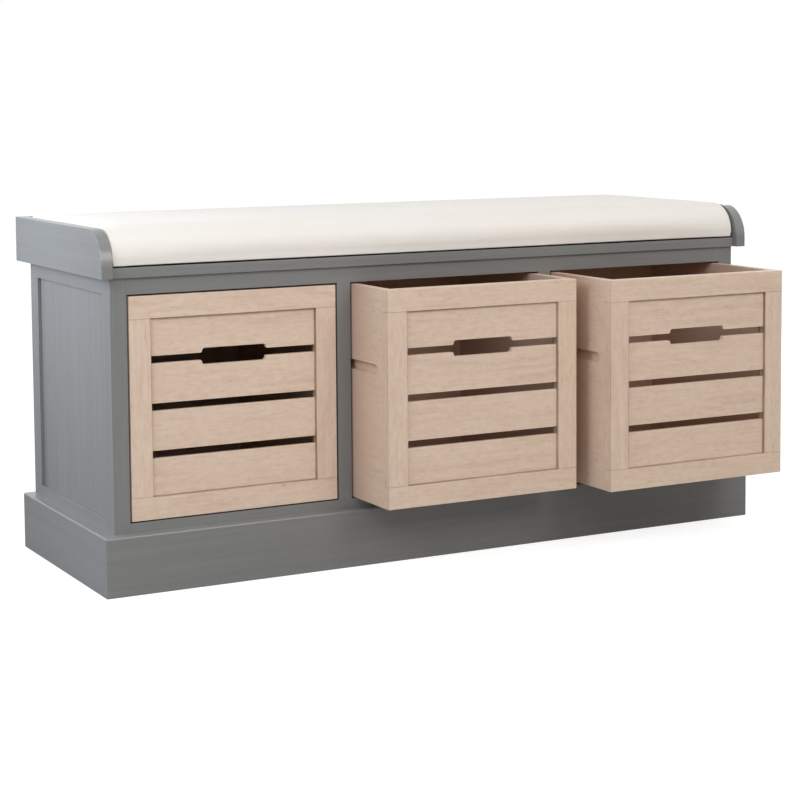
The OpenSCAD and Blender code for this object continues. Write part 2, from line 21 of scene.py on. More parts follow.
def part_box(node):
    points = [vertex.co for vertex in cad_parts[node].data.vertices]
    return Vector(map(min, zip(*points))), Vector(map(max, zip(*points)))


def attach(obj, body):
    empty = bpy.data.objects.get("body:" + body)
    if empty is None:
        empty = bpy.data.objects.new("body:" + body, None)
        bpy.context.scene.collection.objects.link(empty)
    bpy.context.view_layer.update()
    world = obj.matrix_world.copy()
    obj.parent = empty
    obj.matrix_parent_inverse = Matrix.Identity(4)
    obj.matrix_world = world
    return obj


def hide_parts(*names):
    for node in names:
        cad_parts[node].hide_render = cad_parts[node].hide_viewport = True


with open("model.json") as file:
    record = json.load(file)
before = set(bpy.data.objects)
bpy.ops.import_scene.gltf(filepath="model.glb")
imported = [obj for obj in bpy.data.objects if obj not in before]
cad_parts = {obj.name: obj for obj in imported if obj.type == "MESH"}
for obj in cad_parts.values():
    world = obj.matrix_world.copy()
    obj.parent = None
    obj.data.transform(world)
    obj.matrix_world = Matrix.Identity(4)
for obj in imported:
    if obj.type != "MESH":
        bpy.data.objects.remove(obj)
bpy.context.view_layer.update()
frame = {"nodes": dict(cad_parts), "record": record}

# One millimetre, in Blender's metres.
MM = 0.001

# %% [markdown]
# ## The camera
#
# A catalogue view of furniture keeps its upright lines nearly parallel. That takes a long
# lens held almost level, and then the lens is slid down to frame the object. Blender's camera
# does the same with its vertical shift. The camera's turn is made from three plain angles:
# the heading, the tilt below level, and a small roll.

# %% Camera
EYE = (-1.408, -2.655, 0.670)
HEADING, TILT, ROLL = 28.11, 4.59, -0.42
# The lens and the sensor are in millimetres, and the shift is a share of the sensor's width.
LENS, SENSOR, SHIFT = 88.6, 36, -0.1825

camera_data = bpy.data.cameras.new("camera")
camera_data.lens = LENS
camera_data.sensor_width = SENSOR
camera_data.shift_y = SHIFT
camera = bpy.data.objects.new("camera", camera_data)
camera.matrix_world = (
    Matrix.Translation(EYE)
    @ Matrix.Rotation(math.radians(-HEADING), 4, "Z")
    @ Matrix.Rotation(math.radians(90 - TILT), 4, "X")
    @ Matrix.Rotation(math.radians(ROLL), 4, "Z")
)
bpy.context.scene.collection.objects.link(camera)
bpy.context.scene.camera = camera
print("camera at", EYE, "heading", HEADING, "tilt", TILT)

# %% [markdown]
# ## The studio
#
# The bench stands in a white studio. A white surround lights it softly from all sides, and
# a near soft box at the left gives the shapes their modelling. A small one with a narrow
# beam keeps the end panel lighter at the top than at the floor. Two boxes further off fill
# the front, a small one overhead lights the right half of the seat, and one behind fills the
# back and the far end. The surround is dimmer than pure white for the soft light that it
# gives, and pure white where it is seen or mirrored, which a Light Path node keeps apart.

# %% World and lights
scene = bpy.context.scene
scene.view_settings.view_transform = "Standard"
scene.view_settings.look = "None"

# What the white surround gives as soft light, and how bright it looks in itself.
SURROUND_LIGHT, SURROUND_WHITE = 0.42, 1.0
world = bpy.data.worlds.new("studio")
world.use_nodes = True
scene.world = world
tree = world.node_tree
backdrop = tree.nodes["Background"]
ray = tree.nodes.new("ShaderNodeLightPath")
strength = tree.nodes.new("ShaderNodeMapRange")
strength.inputs["To Min"].default_value = SURROUND_WHITE
strength.inputs["To Max"].default_value = SURROUND_LIGHT
tree.links.new(ray.outputs["Is Diffuse Ray"], strength.inputs["Value"])
tree.links.new(strength.outputs["Result"], backdrop.inputs["Strength"])
backdrop.inputs["Color"].default_value = (1, 1, 1, 1)


# The tints of the lamps: cool from the left, above and behind, a little warm on the front.
KEY_BLUE, SIDE_BLUE, TOP_BLUE = (0.82, 0.89, 1.0), (0.80, 0.88, 1.0), (0.93, 0.96, 1.0)
WARM_WHITE, COOL_WHITE = (1.0, 0.97, 0.95), (0.97, 0.98, 1.0)
NARROW_BEAM = math.radians(80)


def soft_box(name, place, aim, size, watts, colour):
    """A square area light at a place, facing a point."""
    data = bpy.data.lights.new(name, "AREA")
    data.size = size
    data.energy = watts
    data.color = colour
    light = bpy.data.objects.new(name, data)
    turn = (Vector(aim) - Vector(place)).to_track_quat("-Z", "Y")
    light.matrix_world = Matrix.Translation(place) @ turn.to_matrix().to_4x4()
    scene.collection.objects.link(light)
    return light


soft_box("key_light", (-1.5, -0.65, 1.25), (-0.5, -0.05, 0.5), 0.8, 9.5, KEY_BLUE)
side_light = soft_box("side_light", (-1.15, 0.3, 0.62), (-0.515, 0, 0.47), 0.4, 1.7, SIDE_BLUE)
side_light.data.spread = NARROW_BEAM
soft_box("left_fill", (-1.2, -2.5, 2.0), (-0.3, 0, 0.25), 1.4, 15, WARM_WHITE)
soft_box("right_fill", (0.7, -2.8, 2.1), (0.2, 0, 0.25), 1.4, 29, WARM_WHITE)
soft_box("top_light", (0.60, -0.2, 1.9), (0.35, 0, 0.5), 0.6, 3.5, TOP_BLUE)
soft_box("back_light", (1.7, 2.0, 1.1), (0.2, 0, 0.25), 1.4, 12, COOL_WHITE)

# %% [markdown]
# ## The helpers
#
# Blender's edit tools act on whatever is selected, so each step first selects one object, and
# then picks its edges in code by where they are or how sharp they are.

# %% Selecting
def only(piece):
    """Makes a piece the one selected and active object."""
    bpy.ops.object.select_all(action="DESELECT")
    piece.select_set(True)
    bpy.context.view_layer.objects.active = piece


def edit(kind):
    """Opens the active object in edit mode with nothing selected."""
    bpy.ops.object.mode_set(mode="EDIT")
    bpy.ops.mesh.select_mode(type=kind)
    bpy.ops.mesh.select_all(action="DESELECT")


def pick_edges(piece, wanted):
    """Selects the edges whose two end points, as vectors, satisfy a test, and counts them."""
    bpy.ops.object.mode_set(mode="OBJECT")
    mesh = piece.data
    count = 0
    for edge in mesh.edges:
        a, b = (mesh.vertices[i].co for i in edge.vertices)
        edge.select = bool(wanted(a, b))
        count += edge.select
    bpy.ops.object.mode_set(mode="EDIT")
    return count


def apply_modifier(piece, kind, **settings):
    """Adds a modifier, sets it and applies it."""
    only(piece)
    modifier = piece.modifiers.new(kind.lower(), kind)
    for name, value in settings.items():
        setattr(modifier, name, value)
    bpy.ops.object.modifier_apply(modifier=modifier.name)


# %% [markdown]
# ## The floor
#
# A studio floor is a sweep of white paper under lamps of its own, so it looks white all over
# and still doesn't throw much light back up. One plane does it: a pale grey, with a glow that
# only the camera sees.

# %% Floor
FLOOR_SIZE = 60
# The floor lies a little under the bench, so that no two faces lie in one plane.
FLOOR_DROP = 0.5 * MM
PAPER_GREY, PAPER_GLOW = 0.42, 0.8

bpy.ops.object.select_all(action="DESELECT")
bpy.ops.mesh.primitive_plane_add(size=FLOOR_SIZE, location=(0, 0, -FLOOR_DROP))
floor = bpy.context.active_object
floor.name = "floor"
paper = bpy.data.materials.new("white_paper")
paper.use_nodes = True
paper_shader = paper.node_tree.nodes["Principled BSDF"]
paper_shader.inputs["Base Color"].default_value = (PAPER_GREY, PAPER_GREY, PAPER_GREY, 1)
paper_shader.inputs["Roughness"].default_value = 0.9
paper_shader.inputs["Emission Color"].default_value = (1, 1, 1, 1)
paper_ray = paper.node_tree.nodes.new("ShaderNodeLightPath")
paper_glow = paper.node_tree.nodes.new("ShaderNodeMapRange")
paper_glow.inputs["To Max"].default_value = PAPER_GLOW
paper.node_tree.links.new(paper_ray.outputs["Is Camera Ray"], paper_glow.inputs["Value"])
paper.node_tree.links.new(paper_glow.outputs["Result"], paper_shader.inputs["Emission Strength"])
floor.data.materials.append(paper)
print("floor", floor.dimensions[:])

# %% [markdown]
# ## Boards with eased edges
#
# No joiner leaves a board's edges sharp: a few strokes of sandpaper round them by half a
# millimetre. That small round is what catches a line of light, and it leaves a fine groove
# where two boards meet flush, so the joints show. A CAD board has dead sharp edges, so each
# one is copied, its loose triangles are merged into whole faces, and its outward edges are
# bevelled. A bevel of the copy was chosen over a live modifier because the merged faces also
# shade cleanly.
#
# Wood grain runs along a board, whichever way the board lies. So each board also carries
# where each point is in the board itself: along, across and through it, from its middle.
# A finish that reads these runs its grain the right way on every board, and knows how far
# each point is from the board's edges.

# %% Merge and ease a board
EASE = 0.5 * MM
# Corners closer than this are one corner, and faces that turn less than this are one face.
SAME_POINT, SAME_FACE = 0.02 * MM, math.radians(0.6)
# An edge is sharp from this angle on. It is eased if it is over this many times the ease long.
SHARP, LONG_ENOUGH = math.radians(40), 4
# A neighbour that rises more than this above a face makes the edge an inner corner.
RISE = 0.001 * MM


def merged_copy(node, name):
    """A new object with a CAD node's mesh, its triangles merged into whole faces."""
    piece = bpy.data.objects.new(name, frame["nodes"][node].data.copy())
    piece.data.materials.clear()
    scene.collection.objects.link(piece)
    only(piece)
    edit("VERT")
    bpy.ops.mesh.select_all(action="SELECT")
    bpy.ops.mesh.customdata_custom_splitnormals_clear()
    bpy.ops.mesh.remove_doubles(threshold=SAME_POINT)
    bpy.ops.mesh.dissolve_limited(angle_limit=SAME_FACE)
    bpy.ops.object.mode_set(mode="OBJECT")
    return piece


def ease_edges(piece, radius):
    """Rounds every outward edge that is long enough to be handled."""
    mesh = piece.data
    faces_of = {}
    for face in mesh.polygons:
        for key in face.edge_keys:
            faces_of.setdefault(key, []).append(face)
    outward = set()
    for key, faces in faces_of.items():
        if len(faces) != 2:
            continue
        first, second = faces
        if first.normal.angle(second.normal, 0) < SHARP:
            continue
        start, end = (mesh.vertices[i].co for i in key)
        hollow = (second.center - (start + end) / 2).dot(first.normal) > RISE
        if not hollow and (start - end).length > LONG_ENOUGH * radius:
            outward.add(key)
    only(piece)
    edit("EDGE")
    bpy.ops.object.mode_set(mode="OBJECT")
    for edge in mesh.edges:
        edge.select = tuple(sorted(edge.vertices)) in outward
    bpy.ops.object.mode_set(mode="EDIT")
    bpy.ops.mesh.bevel(offset=radius, segments=2, affect="EDGES", clamp_overlap=True)
    bpy.ops.object.mode_set(mode="OBJECT")
    bpy.ops.object.shade_smooth_by_angle(angle=SHARP)
    apply_modifier(piece, "WEIGHTED_NORMAL", keep_sharp=True)
    return len(outward)


# %% Where each point is in its own board
# Steps of the golden ratio spread the seeds evenly, however many boards there are.
GOLDEN_STEP = 0.6180339


def points_of(mesh):
    """The places of a mesh's vertices, one row each."""
    at = np.zeros(len(mesh.vertices) * 3)
    mesh.vertices.foreach_get("co", at)
    return at.reshape(-1, 3)


def loose_parts(mesh):
    """The number of the loose part that each vertex belongs to."""
    part = np.arange(len(mesh.vertices))
    ends = np.array([edge.vertices[:] for edge in mesh.edges])
    while True:
        lower = np.minimum(part[ends[:, 0]], part[ends[:, 1]])
        before = part.copy()
        np.minimum.at(part, ends[:, 0], lower)
        np.minimum.at(part, ends[:, 1], lower)
        part = part[part]
        if (part == before).all():
            return np.unique(part, return_inverse=True)[1]


def write_points(piece, name, kind, values):
    """Stores one number or one vector on each point of a piece."""
    field = "value" if kind == "FLOAT" else "vector"
    made = piece.data.attributes.new(name, kind, "POINT")
    made.data.foreach_set(field, np.asarray(values, np.float32).ravel())


board_count = 0


def mark_boards(piece):
    """Writes board_at, board_half and board_seed on each loose board of a piece."""
    global board_count
    at = points_of(piece.data)
    part = loose_parts(piece.data)
    place, half, seed = np.zeros_like(at), np.zeros_like(at), np.zeros(len(at))
    for number in range(part.max() + 1):
        mine = part == number
        low, high = at[mine].min(0), at[mine].max(0)
        order = np.argsort(low - high)
        place[mine] = (at[mine] - (low + high) / 2)[:, order]
        half[mine] = ((high - low) / 2)[order]
        board_count += 1
        seed[mine] = (board_count * GOLDEN_STEP) % 1
    write_points(piece, "board_at", "FLOAT_VECTOR", place)
    write_points(piece, "board_half", "FLOAT_VECTOR", half)
    write_points(piece, "board_seed", "FLOAT", seed)
    return part.max() + 1


# %% [markdown]
# ## Writing finishes as formulas
#
# A finish is a graph of nodes. Drawn by hand it soon becomes a tangle, so here a node's output
# is wrapped in a small class whose +, - and * add Math nodes. A formula such as
# `1 - 0.2 * streaks` then builds its own nodes. Colours and vectors have nodes of their own,
# because a Math node would turn a colour grey.

# %% Wire and Finish
class Wire:
    """The output of a node, with arithmetic."""

    def __init__(self, finish, socket):
        self.finish = finish
        self.socket = socket

    def __add__(self, other):
        return self.finish.math("ADD", self, other)

    def __sub__(self, other):
        return self.finish.math("SUBTRACT", self, other)

    def __rsub__(self, other):
        return self.finish.math("SUBTRACT", other, self)

    def __mul__(self, other):
        return self.finish.math("MULTIPLY", self, other)

    __radd__ = __add__
    __rmul__ = __mul__


class Finish:
    """A material with one Principled shader, whose constants are set on its own sockets."""

    def __init__(self, name, constants):
        self.material = bpy.data.materials.new(name)
        self.material.use_nodes = True
        self.tree = self.material.node_tree
        self.shader = self.tree.nodes["Principled BSDF"]
        for socket, value in constants.items():
            self.shader.inputs[socket].default_value = value

    def node(self, kind, settings, inputs, output=0):
        """Adds a node: its settings first, then the values or wires of its sockets."""
        made = self.tree.nodes.new(kind)
        for name, value in settings.items():
            setattr(made, name, value)
        for name, value in inputs.items():
            self.plug(made.inputs[name], value)
        return Wire(self, made.outputs[output])

    def plug(self, socket, value):
        """Links a wire to a socket, or sets the socket to a plain value."""
        if isinstance(value, Wire):
            self.tree.links.new(value.socket, socket)
        else:
            socket.default_value = value

    def set(self, name, value):
        """Feeds one of the shader's own sockets."""
        self.plug(self.shader.inputs[name], value)

    def math(self, operation, a, b=0.0):
        return self.node("ShaderNodeMath", {"operation": operation}, {0: a, 1: b})

    def vector(self, operation, a, b):
        return self.node("ShaderNodeVectorMath", {"operation": operation}, {0: a, 1: b})

    def mix(self, share, a, b, blend="MIX"):
        """Mixes two colours, or multiplies them."""
        settings = {"data_type": "RGBA", "blend_type": blend}
        return self.node("ShaderNodeMix", settings, {0: share, 6: a, 7: b}, output=2)

    def fade(self, value, start, end, low=0.0, high=1.0):
        """Goes smoothly from low to high as the value goes from start to end."""
        inputs = {"Value": value, "From Min": start, "From Max": end,
                  "To Min": low, "To Max": high}
        return self.node("ShaderNodeMapRange", {"interpolation_type": "SMOOTHSTEP"}, inputs)

    def read(self, name, output="Vector"):
        """Reads what was stored on the piece's points."""
        return self.node("ShaderNodeAttribute", {"attribute_name": name}, {}, output)

    def noise(self, at, scale=1.0, detail=2.0, rough=0.5, bend=0.0):
        inputs = {"Vector": at, "Scale": scale, "Detail": detail,
                  "Roughness": rough, "Distortion": bend}
        return self.node("ShaderNodeTexNoise", {}, inputs)

    def split(self, vector):
        """The three parts of a vector."""
        made = self.tree.nodes.new("ShaderNodeSeparateXYZ")
        self.plug(made.inputs[0], vector)
        return [Wire(self, made.outputs[i]) for i in range(3)]

    def join(self, x, y, z):
        return self.node("ShaderNodeCombineXYZ", {}, {0: x, 1: y, 2: z})

    def bump(self, height, depth, under=None):
        """A bump whose height of 1 stands for a depth in metres."""
        inputs = {"Height": height, "Distance": depth, "Strength": 1.0}
        if under is not None:
            inputs["Normal"] = under
        return self.node("ShaderNodeBump", {}, inputs)


def rgb(red, green, blue):
    """A screen colour, from 0 to 255, as the linear colour that Blender mixes in."""
    linear = [((c / 255 + 0.055) / 1.055) ** 2.4 for c in (red, green, blue)]
    return (*linear, 1)


print("mid grey is", [round(c, 3) for c in rgb(128, 128, 128)])

# %% [markdown]
# ## Grain
#
# All the wood here shares one idea: noise that is stretched along the board. Fibres are some
# tens of times longer than they are wide, so the coordinates are scaled by very different
# amounts along and across the board. The board's seed shifts the pattern, so that no two
# boards repeat.

# %% Grain coordinates
def in_board(finish):
    """Where a point is in its board, moved by the board's seed."""
    seed = finish.read("board_seed", "Fac")
    shift = finish.join(seed * 37.0, seed * 11.0, seed * 5.0)
    return finish.vector("ADD", finish.read("board_at"), shift)


def stretched(finish, at, along, across, detail=2.0, rough=0.5, bend=0.0):
    """Noise with so many features to a metre along the board and across it."""
    scaled = finish.vector("MULTIPLY", at, (along, across, across))
    return finish.noise(scaled, detail=detail, rough=rough, bend=bend)


def near_edge(finish, width):
    """1 on a board's edges, fading to 0 at this distance from them."""
    reach = finish.vector("ABSOLUTE", finish.read("board_at"), (0, 0, 0))
    room = finish.vector("SUBTRACT", finish.read("board_half"), reach)
    a, b, c = finish.split(room)
    lesser = finish.math("MINIMUM", a, b)
    greater = finish.math("MAXIMUM", a, b)
    second = finish.math("MAXIMUM", lesser, finish.math("MINIMUM", greater, c))
    return finish.fade(second, width, 0.0)


# %% [markdown]
# ## Grey washed paint
#
# The case is stained grey and sealed with a thin satin paint. The wood shows through as fine
# streaks, the brush leaves faint lines along each board, and handling has worn the colour a
# little thin on the edges. A plain grey would look like plastic, so the colour, the gloss and
# the surface height all follow the same streaks. Outside, a thin clear coat over them gives
# the satin sheen. The inside boards are matt and have none.

# %% Paint
def grey_paint(name, colour, rough, coat):
    """Satin grey over grain that still shows."""
    finish = Finish(name, {"Specular IOR Level": 0.5, "Coat Weight": coat, "Coat Roughness": 0.2})
    at = in_board(finish)
    streaks = stretched(finish, at, 9, 420, detail=4, rough=0.6)
    brush = stretched(finish, at, 3, 110, detail=2)
    clouds = stretched(finish, at, 3.5, 14, detail=2)
    pores = finish.fade(stretched(finish, at, 70, 1500, detail=1), 0.66, 0.76)
    shade = 0.74 + 0.24 * streaks + 0.24 * brush + 0.12 * clouds - 0.12 * pores
    worn = near_edge(finish, 1.6 * MM)
    shade = shade + 0.10 * worn * clouds
    tone = finish.join(shade, shade, shade)
    finish.set("Base Color", finish.mix(1.0, colour, tone, "MULTIPLY"))
    finish.set("Roughness", rough - 0.10 * brush + 0.12 * streaks + 0.10 * pores)
    height = 0.6 * streaks + 0.5 * brush - 0.8 * pores
    finish.set("Normal", finish.bump(height, 0.10 * MM))
    return finish.material


case_paint = grey_paint("case_paint", rgb(124, 124, 122), 0.34, 0.45)
inside_paint = grey_paint("inside_paint", rgb(112, 111, 108), 0.62, 0.0)
print("paints:", case_paint.name, inside_paint.name)

# %% [markdown]
# ## Pale washed wood
#
# The drawers are a light hardwood, washed with a thin white stain. It shows fine streaks,
# some broad waves of figure where the saw met the growth rings at a slant, short brown pores,
# and now and then a fleck. On the drawer fronts a darker glaze was wiped on, and it stays in
# the corners where the slats meet the frame. The place of that line is worked out from the
# frame's inner edges, so it runs along them whatever board it falls on. The boxes behind the
# fronts get painted shade: they turn darker and pinker the deeper they lie behind the front,
# standing in for the shadow and bounced light inside the case.

# %% Pale wood
def pale_wood(name, light, dark, painted_shade_tone=None, glaze=None, rough=0.55):
    """Washed wood between two tones.

    A third tone, if given, is painted shade: the wood turns to it away from the drawer's front,
    standing in for the shadow and bounced light deep in the box. A glaze is
    half the inner width and height of the front's frame.
    """
    finish = Finish(name, {"Specular IOR Level": 0.35})
    at = in_board(finish)
    streaks = stretched(finish, at, 9, 330, detail=4, rough=0.65)
    mottle = stretched(finish, at, 70, 190, detail=3, rough=0.6)
    sway = stretched(finish, at, 4, 16, detail=2)
    clouds = stretched(finish, at, 6, 26, detail=3)
    _, across, through = finish.split(at)
    rings = finish.math("SINE", (across + 0.35 * through) * 300 + sway * 30)
    figure = rings * finish.fade(clouds, 0.42, 0.62)
    pores = finish.fade(stretched(finish, at, 110, 1200, detail=1), 0.60, 0.72)
    pores = pores * finish.fade(mottle, 0.38, 0.58)
    share = 0.55 * streaks + 0.60 * mottle + 0.10 * figure + 0.36 * clouds - 0.32
    share = share - 0.25 * near_edge(finish, 1.2 * MM)
    colour = finish.mix(share, light, dark)
    if painted_shade_tone:
        # Painted shade: the wood darkens and turns pinker deeper behind the front, in place of the
        # shadow and bounced light inside the case.
        _, depth, _ = finish.split(finish.read("front_at"))
        colour = finish.mix(finish.fade(depth, 15 * MM, 130 * MM), colour, painted_shade_tone)
    brown = rgb(150, 104, 78)
    colour = finish.mix(0.26 * pores, colour, brown)
    fleck_at = finish.vector("MULTIPLY", at, (9, 22, 22))
    fleck = finish.node("ShaderNodeTexVoronoi", {}, {"Vector": fleck_at, "Scale": 1.0}, "Distance")
    colour = finish.mix(0.35 * finish.fade(fleck, 0.045, 0.02), colour, brown)
    if glaze:
        colour = wiped_glaze(finish, colour, glaze, clouds)
    finish.set("Base Color", colour)
    finish.set("Roughness", rough + 0.15 * streaks - 0.05 * clouds)
    height = 0.6 * streaks + 0.3 * mottle - 0.9 * pores
    finish.set("Normal", finish.bump(height, 0.09 * MM))
    return finish.material


# %% Wiped glaze
# The width of the members of a drawer front's frame.
MEMBER = 31.5 * MM


def wiped_glaze(finish, colour, inner_half, uneven):
    """Brown lines in the corners of a drawer front, in its joints and along its outer edges."""
    wide, depth, high = finish.split(
        finish.vector("ABSOLUTE", finish.read("front_at"), (0, 0, 0)))
    beside, above = inner_half[0] - wide, inner_half[1] - high
    inside = finish.math("MINIMUM", beside, above)
    corner = finish.fade(finish.math("ABSOLUTE", inside), 1.6 * MM, 0.3 * MM)
    corner = corner * finish.math("GREATER_THAN", inside, -0.8 * MM)
    joint = finish.fade(finish.math("ABSOLUTE", above), 0.8 * MM, 0.2 * MM)
    joint = joint * finish.math("LESS_THAN", beside, 0.0)
    outer = finish.fade(beside, 0.9 * MM - MEMBER, 0.3 * MM - MEMBER)
    outer = outer * finish.fade(depth, 1.4 * MM, 0.8 * MM)
    lines = finish.math("MAXIMUM", corner, 0.6 * finish.math("MAXIMUM", joint, outer))
    thin = finish.fade(uneven, 0.30, 0.62, 0.45, 1.0)
    return finish.mix(0.66 * lines * thin, colour, rgb(112, 72, 46))


# %% [markdown]
# The inner edges of a drawer front's frame are measured in from the drawer's own edges. Each
# front piece carries its place in the front, so that one material serves all three drawers.

# %% Drawer fronts and boxes
rail_low, rail_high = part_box("left_drawer_front_top_rail")
foot_low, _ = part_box("left_drawer_front_bottom_rail")
inner_half = ((rail_high.x - rail_low.x) / 2 - MEMBER, (rail_high.z - foot_low.z) / 2 - MEMBER)
front_middle = (rail_high.z + foot_low.z) / 2

FRONT_LIGHT, FRONT_DARK = rgb(236, 215, 194), rgb(204, 174, 150)
front_wood = pale_wood("front_wood", FRONT_LIGHT, FRONT_DARK, glaze=inner_half)
# The box wood's third tone is painted shade, for the shadow and bounced light deep behind the
# front.
box_wood = pale_wood("box_wood", FRONT_LIGHT, FRONT_DARK, painted_shade_tone=rgb(198, 166, 146))
runner_wood = pale_wood("runner_wood", rgb(205, 178, 146), rgb(170, 138, 104))
print("frame's inner half (mm):", [round(v / MM, 1) for v in inner_half])

# %% [markdown]
# ## The boards
#
# Now every wooden piece is made: copied, eased, marked with its grain and given its finish.
# It then rides on the body of its CAD piece and stands for it. A drawer's front and box pieces
# also get their place in the front, for the glaze and for the painted shade on the boxes.

# %% Make the boards
body_of = {node: body for body, nodes in frame["record"]["behaviour"]["bodies"].items()
           for node in nodes}
FINISHES = {"grey_paint": case_paint, "grey_inside": inside_paint, "drawer_front": front_wood,
            "drawer_box": box_wood, "runner_wood": runner_wood}
slot_of = {part["node"]: part["material_slot"] for part in frame["record"]["subparts"]}


def finished_board(node):
    """An eased copy of a wooden CAD piece, with its grain and its finish."""
    piece = merged_copy(node, node + "_eased")
    edges = ease_edges(piece, EASE)
    boards = mark_boards(piece)
    if slot_of[node] in ("drawer_front", "drawer_box"):
        drawer = node.split("_")[0] + "_drawer_front_top_rail"
        low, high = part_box(drawer)
        middle = ((low.x + high.x) / 2, low.y, front_middle)
        write_points(piece, "front_at", "FLOAT_VECTOR", points_of(piece.data) - middle)
    piece.data.materials.append(FINISHES[slot_of[node]])
    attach(piece, body_of[node])
    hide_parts(node)
    return edges, boards


eased_edges, boards_made = 0, 0
for node in sorted(slot_of):
    if slot_of[node] in FINISHES:
        edges, boards = finished_board(node)
        eased_edges += edges
        boards_made += boards
print("boards:", boards_made, "eased edges:", eased_edges)

# %% [markdown]
# ## Screws and dowels
#
# The screws are zinc-plated steel, and the dowels are turned beech. Their shapes are right in
# the CAD model, so they stay, and only their finish is new. Zinc has a fine frosted sheen,
# and turning leaves rings of slightly different gloss.

# %% Steel
def zinc_steel():
    """Plated steel: a bright metal with a cloudy, faintly scratched gloss."""
    finish = Finish("zinc_steel", {"Metallic": 1.0})
    at = finish.node("ShaderNodeTexCoord", {}, {}, "Object")
    frost = finish.noise(at, scale=900, detail=3)
    scratches = finish.noise(finish.vector("MULTIPLY", at, (3000, 400, 3000)), detail=2)
    finish.set("Base Color", finish.mix(frost, rgb(176, 178, 182), rgb(208, 209, 211)))
    finish.set("Roughness", 0.24 + 0.22 * frost + 0.10 * scratches)
    finish.set("Normal", finish.bump(frost, 0.03 * MM))
    return finish.material


def turned_beech():
    """Dowels lie along X or Y, so their grain reads the object's own coordinates."""
    finish = Finish("turned_beech", {"Specular IOR Level": 0.3})
    at = finish.node("ShaderNodeTexCoord", {}, {}, "Object")
    streaks = finish.noise(finish.vector("MULTIPLY", at, (60, 60, 900)), detail=3)
    finish.set("Base Color", finish.mix(streaks, rgb(222, 198, 160), rgb(186, 154, 112)))
    finish.set("Roughness", 0.5 + 0.2 * streaks)
    return finish.material


STAYS = {"screw_steel": zinc_steel(), "dowel_wood": turned_beech()}
for node in sorted(slot_of):
    if slot_of[node] in STAYS:
        kept = frame["nodes"][node]
        kept.data.materials.clear()
        kept.data.materials.append(STAYS[slot_of[node]])
        print("kept", node, "with", STAYS[slot_of[node]].name)

# %% [markdown]
# ## The cushion
#
# The cushion is a slab of foam in a cream cotton cover. Its front edge is rounded like the end
# boards beside it, and its ends are flat panels, sewn to the top with a plain seam.
#
# A box with rounded edges would look like plaster. Foam pushes a cover outwards, so real
# cloth is taut and slightly crowned between its seams. So the cover is modelled as a
# clean grid with its seam, and a plain cloth of the same shape is blown up from inside. The
# cover is bound to that cloth and follows it, which keeps its clean edges and its seam.

# %% Cushion block
low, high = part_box("cushion_cover")
SWELL = 3.5 * MM
NOSE_R, REAR_R, END_R, FOOT_R = 45 * MM, 9 * MM, 3.5 * MM, 1.5 * MM
start_low = low + Vector((0.5 * MM, 0, 0))
start_high = high - Vector((0.5 * MM, 0.5 * MM, 1.5 * MM))

bpy.ops.object.select_all(action="DESELECT")
bpy.ops.mesh.primitive_cube_add(size=1, location=(start_low + start_high) / 2,
                                scale=start_high - start_low)
cover = bpy.context.active_object
cover.name = "cushion"
bpy.ops.object.transform_apply(location=True, rotation=True, scale=True)


def round_edges(piece, wanted, radius, steps):
    """Selects edges by a test on their end points, and rounds them."""
    only(piece)
    edit("EDGE")
    count = pick_edges(piece, wanted)
    bpy.ops.mesh.bevel(offset=radius, segments=steps, affect="EDGES", clamp_overlap=True)
    bpy.ops.object.mode_set(mode="OBJECT")
    return count


# Places on the block that are closer than this are the same.
CLOSE = 0.01 * MM


def near(value, target):
    """Whether two places along an axis are the same."""
    return abs(value - target) < CLOSE


counts = [
    round_edges(cover, lambda a, b: all(near(p.y, start_low.y) and near(p.z, start_high.z)
                                        for p in (a, b)), NOSE_R, 14),
    round_edges(cover, lambda a, b: all(near(p.y, start_high.y) and near(p.z, start_high.z)
                                        for p in (a, b)), REAR_R, 5),
    round_edges(cover, lambda a, b: near(abs(a.x), start_high.x) and near(a.x, b.x),
                END_R, 4),
    round_edges(cover, lambda a, b: near(a.z, start_low.z) and near(b.z, start_low.z)
                and not near(a.x, b.x) and abs(a.x) + abs(b.x) > start_high.x, FOOT_R, 3),
]
print("rounded edges:", counts)

# %% [markdown]
# Straight cuts across the block make it a grid, so that it can bend and swell.

# %% Cut the grid
CELL = 12 * MM


def cut_across(piece, axis, places):
    """Cuts the whole piece by a plane at each place along an axis."""
    only(piece)
    bpy.ops.object.mode_set(mode="EDIT")
    for place in places:
        point, normal = [0.0, 0.0, 0.0], [0.0, 0.0, 0.0]
        point[axis], normal[axis] = place, 1.0
        bpy.ops.mesh.select_all(action="SELECT")
        bpy.ops.mesh.bisect(plane_co=point, plane_no=normal)
    bpy.ops.object.mode_set(mode="OBJECT")


def places_between(first, last, step):
    """Even places between two ends, about a step apart, without the ends."""
    count = max(1, round((last - first) / step))
    return [first + (last - first) * i / count for i in range(1, count)]


cut_across(cover, 0, places_between(start_low.x + END_R, start_high.x - END_R, CELL))
cut_across(cover, 1, places_between(start_low.y + NOSE_R, start_high.y - REAR_R, CELL))
cut_across(cover, 2, places_between(start_low.z + FOOT_R, start_high.z - REAR_R, CELL))
print("cover faces:", len(cover.data.polygons))

# %% [markdown]
# The seam is a fine valley where the end panel is sewn to the top. The loop of edges there is
# split in three by a narrow bevel, and the middle of it is pulled in.

# %% Sew the seam
seam_x = start_high.x - END_R
SEAM_WIDTH, SEAM_DEPTH = 0.9 * MM, 0.7 * MM


def on_seam(point):
    """Whether a point is where the top and an end panel are sewn together."""
    return near(abs(point.x), seam_x) and point.z > start_low.z + CLOSE


